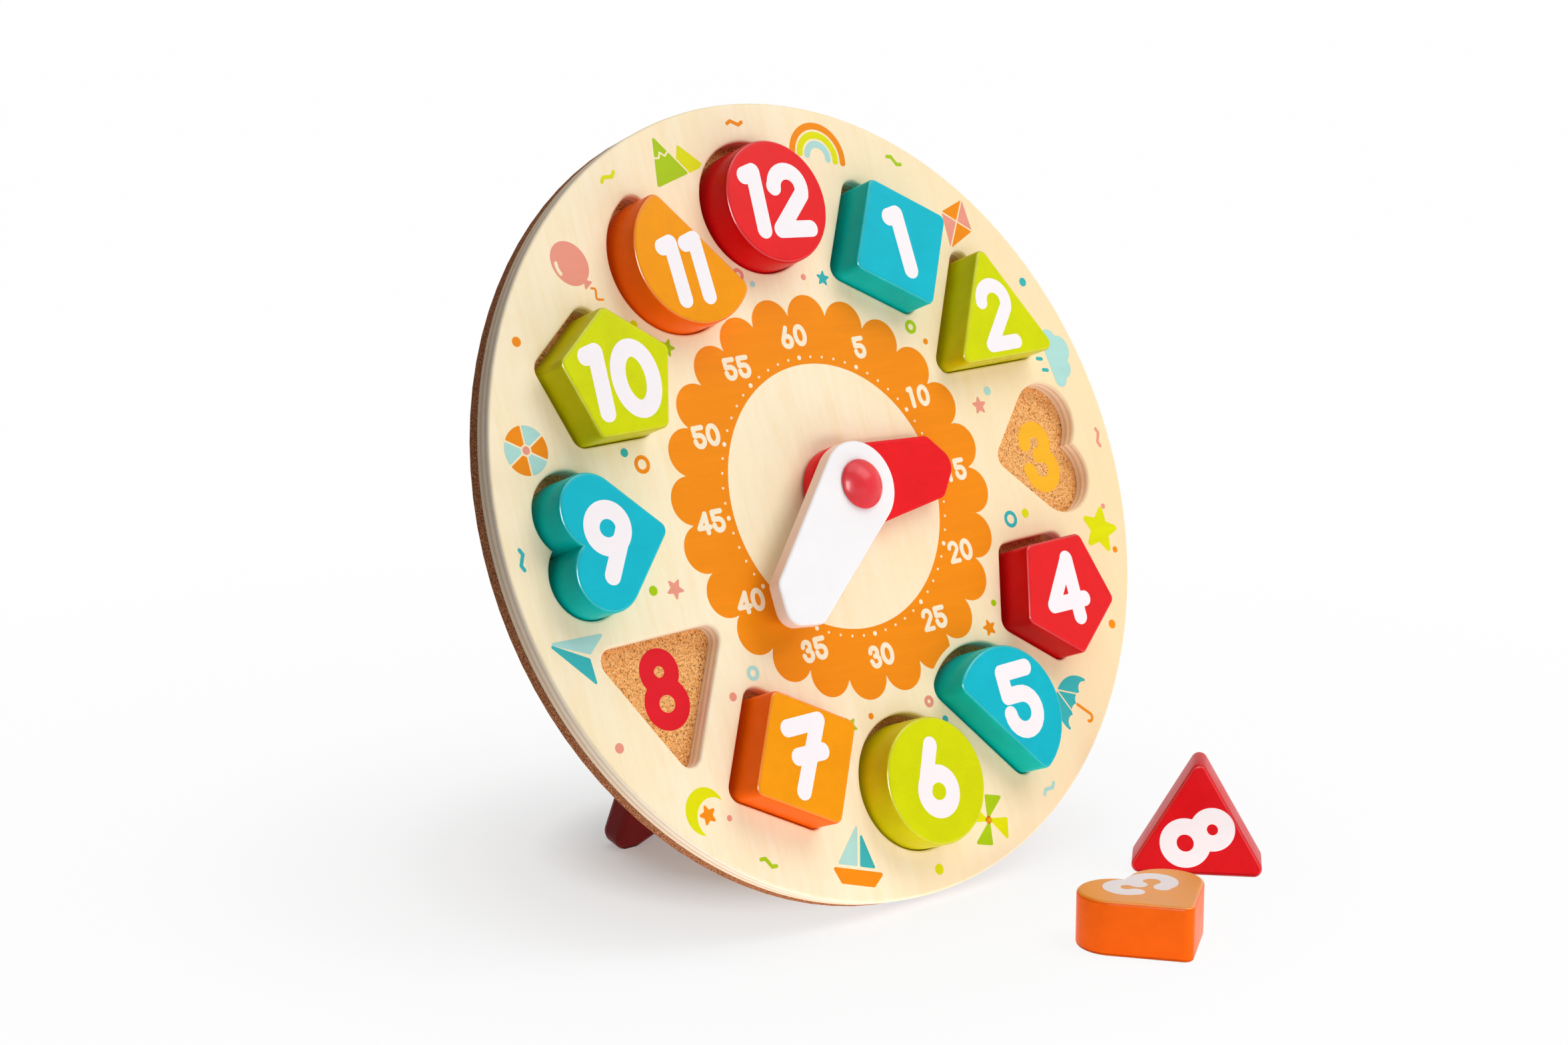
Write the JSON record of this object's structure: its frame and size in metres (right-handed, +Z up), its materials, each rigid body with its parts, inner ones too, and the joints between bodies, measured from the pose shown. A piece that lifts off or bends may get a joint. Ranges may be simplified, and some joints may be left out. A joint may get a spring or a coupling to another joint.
{
  "type": "wooden clock puzzle",
  "caption": "Round wooden clock dial on a folding leg, with turning hands and shaped number blocks that lift out of recesses.",
  "frame": {"origin": "on the floor, under the middle of the whole part", "axes": "+Z up, -Y the way the dial faces, +X to the right of someone who looks at the dial"},
  "size_m": [0.3, 0.2376, 0.2844],
  "materials": {
    "face_ply": "satin lacquered plywood with a printed face",
    "back_ply": "bare fibreboard backing",
    "paint_red": "satin red paint on wood",
    "paint_teal": "satin teal paint on wood",
    "paint_lime": "satin lime paint on wood",
    "paint_orange": "satin orange paint on wood",
    "hand_red": "satin red paint on wood",
    "hand_white": "satin white paint on wood",
    "hub_red": "glossy red paint on turned wood",
    "washer_fibre": "plain fibre",
    "leg_red": "satin dark red paint on wood",
    "steel": "plain steel"
  },
  "bodies": {
    "board": {"face_board": "face_ply", "back_board": "back_ply", "hub_washer": "washer_fibre", "hub_peg": "hub_red", "hub_nut": "steel", "hinge_leaf_board": "steel", "hinge_leaf_board_screw_1": "steel", "hinge_leaf_board_screw_2": "steel", "hinge_pin": "steel"},
    "leg": {"stand_leg": "leg_red", "hinge_leaf_leg": "steel", "hinge_leaf_leg_screw_1": "steel", "hinge_leaf_leg_screw_2": "steel"},
    "hour": {"hour_hand": "hand_red"},
    "minute": {"minute_hand": "hand_white"},
    "number_01": {"block_01": "paint_teal"},
    "number_02": {"block_02": "paint_lime"},
    "number_03": {"block_03": "paint_orange"},
    "number_04": {"block_04": "paint_red"},
    "number_05": {"block_05": "paint_teal"},
    "number_06": {"block_06": "paint_lime"},
    "number_07": {"block_07": "paint_orange"},
    "number_08": {"block_08": "paint_red"},
    "number_09": {"block_09": "paint_teal"},
    "number_10": {"block_10": "paint_lime"},
    "number_11": {"block_11": "paint_orange"},
    "number_12": {"block_12": "paint_red"}
  },
  "joints": [
    {"name": "block_01_pull", "type": "slide", "parent": "board", "child": "number_01", "axis": [0, -0.9342, 0.3567], "range_m": [0, 0.03]},
    {"name": "block_02_pull", "type": "slide", "parent": "board", "child": "number_02", "axis": [0, -0.9342, 0.3567], "range_m": [0, 0.03]},
    {"name": "block_03_lift", "type": "slide", "parent": "board", "child": "number_03", "axis": [0, 0, 1], "range_m": [0, 0.06]},
    {"name": "block_04_pull", "type": "slide", "parent": "board", "child": "number_04", "axis": [0, -0.9342, 0.3567], "range_m": [0, 0.03]},
    {"name": "block_05_pull", "type": "slide", "parent": "board", "child": "number_05", "axis": [0, -0.9342, 0.3567], "range_m": [0, 0.03]},
    {"name": "block_06_pull", "type": "slide", "parent": "board", "child": "number_06", "axis": [0, -0.9342, 0.3567], "range_m": [0, 0.03]},
    {"name": "block_07_pull", "type": "slide", "parent": "board", "child": "number_07", "axis": [0, -0.9342, 0.3567], "range_m": [0, 0.03]},
    {"name": "block_08_lift", "type": "slide", "parent": "board", "child": "number_08", "axis": [0, 0, 1], "range_m": [0, 0.06]},
    {"name": "block_09_pull", "type": "slide", "parent": "board", "child": "number_09", "axis": [0, -0.9342, 0.3567], "range_m": [0, 0.03]},
    {"name": "block_10_pull", "type": "slide", "parent": "board", "child": "number_10", "axis": [0, -0.9342, 0.3567], "range_m": [0, 0.03]},
    {"name": "block_11_pull", "type": "slide", "parent": "board", "child": "number_11", "axis": [0, -0.9342, 0.3567], "range_m": [0, 0.03]},
    {"name": "block_12_pull", "type": "slide", "parent": "board", "child": "number_12", "axis": [0, -0.9342, 0.3567], "range_m": [0, 0.03]},
    {"name": "hour_turn", "type": "hinge", "parent": "board", "child": "hour", "pos_m": [0, 0.03659, 0.14463], "axis": [0, -0.9342, 0.3567], "continuous": true},
    {"name": "minute_turn", "type": "hinge", "parent": "board", "child": "minute", "pos_m": [0, 0.03659, 0.14463], "axis": [0, -0.9342, 0.3567], "continuous": true},
    {"name": "leg_fold", "type": "hinge", "parent": "board", "child": "leg", "pos_m": [0, 0.06152, 0.16814], "axis": [-1, 0, 0], "range_deg": [0, 35.9]}
  ]
}
